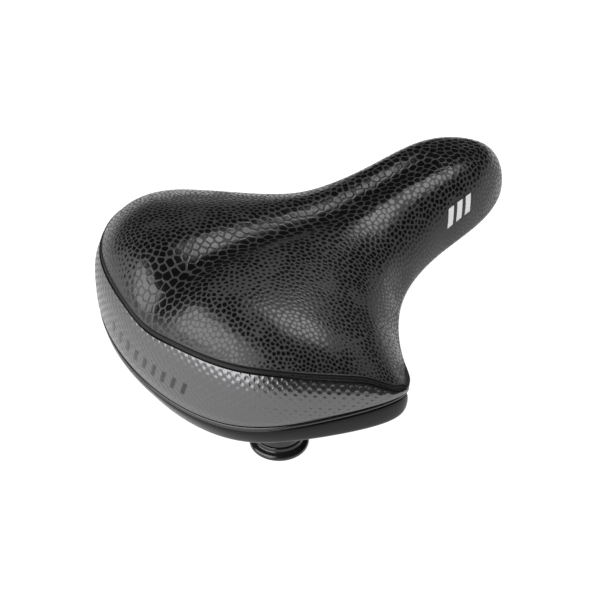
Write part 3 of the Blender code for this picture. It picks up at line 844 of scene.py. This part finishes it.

# ---- foam and gel: the CAD solids, subdivided without rounding, smooth-shaded and drawn in a little


def softened(name, source, sag_mm, wave_mm):
    """Subdivided copy of a CAD solid that sinks a little, unevenly, as a soft filling does."""
    found = bpy.data.objects.new(name, nodes[source].data.copy())
    bpy.context.scene.collection.objects.link(found)
    # its own corners are kept, so that it stays clear of its neighbours
    smoothing = found.modifiers.new("smooth", "SUBSURF")
    smoothing.subdivision_type = "SIMPLE"
    smoothing.levels = smoothing.render_levels = 1
    apply_modifiers(found)
    places = np.array([v.co for v in found.data.vertices]) * 1000
    wave = np.array([noise.noise((x / 14, y / 14, z / 14)) for x, y, z in places.tolist()])
    move_points(found, -sag_mm - wave_mm * (0.5 + 0.5 * wave))
    found.data.polygons.foreach_set("use_smooth", np.full(len(found.data.polygons), True))
    return found


foam = softened("foam_filling", "foam_pad", 0.05, 0.25)
gels = [(softened(f"gel_pad_{name}", f"gel_insert_{name}", 0.1, 0.3), name) for name, _ in SIDES]

# ---- materials


def material(name, rough=0.5, metal=0.0, colour=(0.02, 0.02, 0.02), specular=0.5):
    found = bpy.data.materials.new(name)
    found.use_nodes = True
    tree = found.node_tree
    shader = tree.nodes["Principled BSDF"]
    shader.inputs["Base Color"].default_value = (*colour, 1)
    shader.inputs["Roughness"].default_value = rough
    shader.inputs["Metallic"].default_value = metal
    shader.inputs["Specular IOR Level"].default_value = specular
    return found, tree, shader


def mix_colour(tree, factor, low, high):
    """Colour between low and high, each a colour or the output of a node."""
    found = tree.nodes.new("ShaderNodeMix")
    found.data_type = "RGBA"
    tree.links.new(factor, found.inputs["Factor"])
    for socket, value in zip([i for i in found.inputs if i.type == "RGBA"], (low, high)):
        if isinstance(value, tuple):
            socket.default_value = (*value, 1)
        else:
            tree.links.new(value, socket)
    return next(o for o in found.outputs if o.type == "RGBA")


def attribute(tree, name):
    found = tree.nodes.new("ShaderNodeAttribute")
    found.attribute_name = name
    return found.outputs["Fac"]


def remap(tree, value, low, high, to_low, to_high):
    found = tree.nodes.new("ShaderNodeMapRange")
    for socket, number in zip(found.inputs[1:5], (low, high, to_low, to_high)):
        socket.default_value = number
    tree.links.new(value, found.inputs[0])
    return found.outputs[0]


def grain(tree, size_mm, detail=2.0, kind="ShaderNodeTexNoise"):
    """Noise of about this size, over the object's own coordinates."""
    coords = tree.nodes.new("ShaderNodeTexCoord")
    found = tree.nodes.new(kind)
    found.inputs["Scale"].default_value = 1000 / size_mm
    if "Detail" in found.inputs:
        found.inputs["Detail"].default_value = detail
    tree.links.new(coords.outputs["Object"], found.inputs["Vector"])
    return found


def bump_to(tree, shader, height, strength, distance_mm):
    found = tree.nodes.new("ShaderNodeBump")
    found.inputs["Strength"].default_value = strength
    found.inputs["Distance"].default_value = distance_mm / 1000
    tree.links.new(height, found.inputs["Height"])
    tree.links.new(found.outputs[0], shader.inputs["Normal"])


def coloured(tree, shader, factor, low, high):
    tree.links.new(mix_colour(tree, factor, low, high), shader.inputs["Base Color"])


def roughened(tree, shader, fine, low, high):
    spread = remap(tree, fine.outputs["Fac"], 0.3, 0.7, low, high)
    tree.links.new(spread, shader.inputs["Roughness"])


FLOOR_GLOW = 0.98

# coated cover: matt ground, glossy scales; painted shade darkens the sunk stitch line, the cover's
# very edge and the folded strip between them
COVER, tree, shader = material("black_snake_pu")
scale_share = attribute(tree, "scale")
broad = grain(tree, 9.0, 3.0).outputs["Fac"]
ground = mix_colour(tree, broad, (0.021, 0.021, 0.022), (0.030, 0.030, 0.031))
scaled = mix_colour(tree, scale_share, ground, (0.0022, 0.0022, 0.0024))
coloured(tree, shader, attribute(tree, "painted_seam_shade"), scaled, (0.001, 0.001, 0.001))
dull = remap(tree, attribute(tree, "painted_seam_shade"), 0, 1, 0.50, 0.08)
tree.links.new(dull, shader.inputs["Specular IOR Level"])
toned = remap(tree, attribute(tree, "tone"), 0, 1, 0.17, 0.25)
rough = tree.nodes.new("ShaderNodeMix")
tree.links.new(scale_share, rough.inputs["Factor"])
rough.inputs[2].default_value = 0.60
tree.links.new(toned, rough.inputs[3])
tree.links.new(rough.outputs[0], shader.inputs["Roughness"])
fine = grain(tree, 0.45, 3.0)
bump_to(tree, shader, fine.outputs["Fac"], 0.20, 0.10)

# silver panel: pearl coat over an embossed net, the pressed bars darker
SILVER, tree, shader = material("silver_pearl_pu", 0.36, 0.9)
fine = grain(tree, 0.35, 2.0)
pearl = mix_colour(tree, fine.outputs["Fac"], (0.105, 0.105, 0.108), (0.155, 0.155, 0.158))
coloured(tree, shader, attribute(tree, "bars"), pearl, (0.045, 0.045, 0.047))
roughened(tree, shader, fine, 0.23, 0.32)
bump_to(tree, shader, fine.outputs["Fac"], 0.10, 0.06)

PRINT, tree, shader = material("white_print", 0.42, 0.0, (0.80, 0.80, 0.80))
fine = grain(tree, 0.6, 3.0)
coloured(tree, shader, fine.outputs["Fac"], (0.74, 0.74, 0.74), (0.86, 0.86, 0.86))
bump_to(tree, shader, fine.outputs["Fac"], 0.15, 0.05)

GLOSS, tree, shader = material("black_gloss_abs", 0.16, 0.0, (0.010, 0.010, 0.011))
fine = grain(tree, 8.0, 1.0)
roughened(tree, shader, fine, 0.12, 0.20)

TRIM, tree, shader = material("black_moulded_trim", 0.26, 0.0, (0.003, 0.003, 0.0032), 0.22)
fine = grain(tree, 5.0, 2.0)
roughened(tree, shader, fine, 0.22, 0.30)

SHELL, tree, shader = material("black_moulded_pp", 0.5, 0.0, (0.018, 0.018, 0.019))
fine = grain(tree, 0.6, 2.0)
bump_to(tree, shader, fine.outputs["Fac"], 0.35, 0.15)
roughened(tree, shader, fine, 0.42, 0.6)

STEEL, tree, shader = material("black_painted_steel", 0.3, 0.0, (0.014, 0.014, 0.015))
fine = grain(tree, 1.4, 1.0)
bump_to(tree, shader, fine.outputs["Fac"], 0.12, 0.1)
roughened(tree, shader, fine, 0.24, 0.36)

RUBBER, tree, shader = material("black_elastomer", 0.6, 0.0, (0.016, 0.016, 0.016))
fine = grain(tree, 0.8, 2.0)
bump_to(tree, shader, fine.outputs["Fac"], 0.25, 0.1)
roughened(tree, shader, fine, 0.5, 0.7)

ZINC, tree, shader = material("zinc_plate", 0.32, 1.0, (0.55, 0.55, 0.54))
fine = grain(tree, 1.0, 2.0)
coloured(tree, shader, fine.outputs["Fac"], (0.45, 0.45, 0.43), (0.66, 0.66, 0.66))
roughened(tree, shader, fine, 0.24, 0.42)

FOAM, tree, shader = material("pu_foam_cells", 0.9, 0.0, (0.72, 0.68, 0.55))
cells = grain(tree, 1.1, kind="ShaderNodeTexVoronoi")
coloured(tree, shader, cells.outputs["Distance"], (0.48, 0.44, 0.33), (0.78, 0.74, 0.62))
bump_to(tree, shader, cells.outputs["Distance"], 0.6, 0.5)

GEL, tree, shader = material("blue_silicone_gel", 0.22, 0.0, (0.06, 0.22, 0.42))
fine = grain(tree, 6.0, 2.0)
coloured(tree, shader, fine.outputs["Fac"], (0.04, 0.17, 0.34), (0.08, 0.28, 0.50))
bump_to(tree, shader, fine.outputs["Fac"], 0.1, 0.4)

THREAD, tree, shader = material("black_thread", 0.55, 0.0, (0.045, 0.045, 0.046))
fine = grain(tree, 0.3, 1.0)
bump_to(tree, shader, fine.outputs["Fac"], 0.5, 0.1)

FLOOR, tree, shader = material("pale_floor", 0.8, 0.0, (0.2, 0.2, 0.2), 0.1)
fine = grain(tree, 40.0, 2.0)
coloured(tree, shader, fine.outputs["Fac"], (0.20, 0.20, 0.20), (0.22, 0.22, 0.22))
shader.inputs["Emission Color"].default_value = (1, 1, 1, 1)
shader.inputs["Emission Strength"].default_value = FLOOR_GLOW


def dress(found, look, body="seat", stands_for=()):
    found.data.materials.clear()
    found.data.materials.append(look)
    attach(found, body)
    if stands_for:
        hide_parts(*stands_for)


dress(cover, COVER, "seat", ("top_cover",))
dress(panel, SILVER, "seat", ("rear_panel",))
dress(piping, GLOSS, "seat", ("edge_piping",))
dress(bumper, TRIM, "seat", ("rear_bumper",))
dress(stitches, THREAD, "seat")
dress(staples, ZINC, "seat")
dress(nose_mark, PRINT, "seat")
dress(ribs, SHELL, "seat")
dress(foam, FOAM, "seat", ("foam_pad",))
for found, side_name in gels:
    dress(found, GEL, "seat", (f"gel_insert_{side_name}",))
for found, side_name in rails:
    dress(found, STEEL, "rail_frame", (f"rail_{side_name}",))
KINDS = {
    "upper_cup": (SHELL, "seat", "base_black_pp"),
    "elastomer": (RUBBER, "rail_frame", "elastomer_black"),
    "rebound_bush": (GLOSS, "seat", "elastomer_black"),
    "lower_cap": (GLOSS, "seat", "trim_gloss_black"),
}
for found, kind, side_name in suspension:
    look, body, slot_name = KINDS[kind]
    dress(found, look, body, (f"{kind}_{side_name}",))
    if kind == "elastomer":
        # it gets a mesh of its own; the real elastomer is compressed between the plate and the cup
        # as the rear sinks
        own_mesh(found)

NODE_LOOKS = {
    "base_shell": SHELL, "foam_pad": FOAM, "gel_insert": GEL, "rail_": STEEL, "rear_bridge": STEEL,
    "upper_cup": SHELL, "elastomer": RUBBER, "rebound_bush": GLOSS, "lower_cap": GLOSS,
    "suspension_bolt": ZINC, "lock_nut": ZINC, "nose_socket": SHELL, "nose_clip": ZINC,
    "clip_screw": ZINC, "bumper_screw": ZINC, "top_cover": COVER, "rear_panel": SILVER,
    "edge_piping": GLOSS, "rear_bumper": GLOSS,
}
for name, found in nodes.items():
    for start_of, look in NODE_LOOKS.items():
        if name.startswith(start_of):
            found.data.materials.clear()
            found.data.materials.append(look)

# ---- camera, floor, light
CAMERA_AT = (835.35, -685.0, 888.5)
CAMERA_BACK = (0.5987, -0.4780, 0.6427)
camera_data = bpy.data.cameras.new("camera")
camera = bpy.data.objects.new("camera", camera_data)
bpy.context.scene.collection.objects.link(camera)
camera_data.lens = 149.9
camera_data.clip_end = 20
camera.location = place(CAMERA_AT)
camera.rotation_euler = Vector(CAMERA_BACK).to_track_quat("Z", "Y").to_euler()
bpy.context.scene.camera = camera

low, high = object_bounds()
bpy.ops.mesh.primitive_plane_add(size=6, location=(0, 0, low[2] - 0.0005))
floor = bpy.context.object
floor.name = "floor"
floor.data.materials.append(FLOOR)
floor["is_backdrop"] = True


def softbox(name, size, watts, location, target=(0, 0, 0.03)):
    light = bpy.data.lights.new(name, "AREA")
    light.shape = "RECTANGLE"
    light.size, light.size_y = size
    light.energy = watts
    found = bpy.data.objects.new(name, light)
    bpy.context.scene.collection.objects.link(found)
    found.location = location
    found.rotation_euler = (Vector(location) - Vector(target)).to_track_quat("Z", "Y").to_euler()


softbox("front_softbox", (0.80, 0.48), 6.4, (0.15, 0.47, 0.87))
softbox("rear_softbox", (1.30, 0.80), 16.5, (-0.04, -0.90, 0.46))
world = bpy.data.worlds.new("studio")
world.use_nodes = True
world.node_tree.nodes["Background"].inputs["Color"].default_value = (1, 1, 1, 1)
world.node_tree.nodes["Background"].inputs["Strength"].default_value = 0.03
bpy.context.scene.world = world
bpy.context.scene.view_settings.view_transform = "Standard"

low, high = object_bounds()
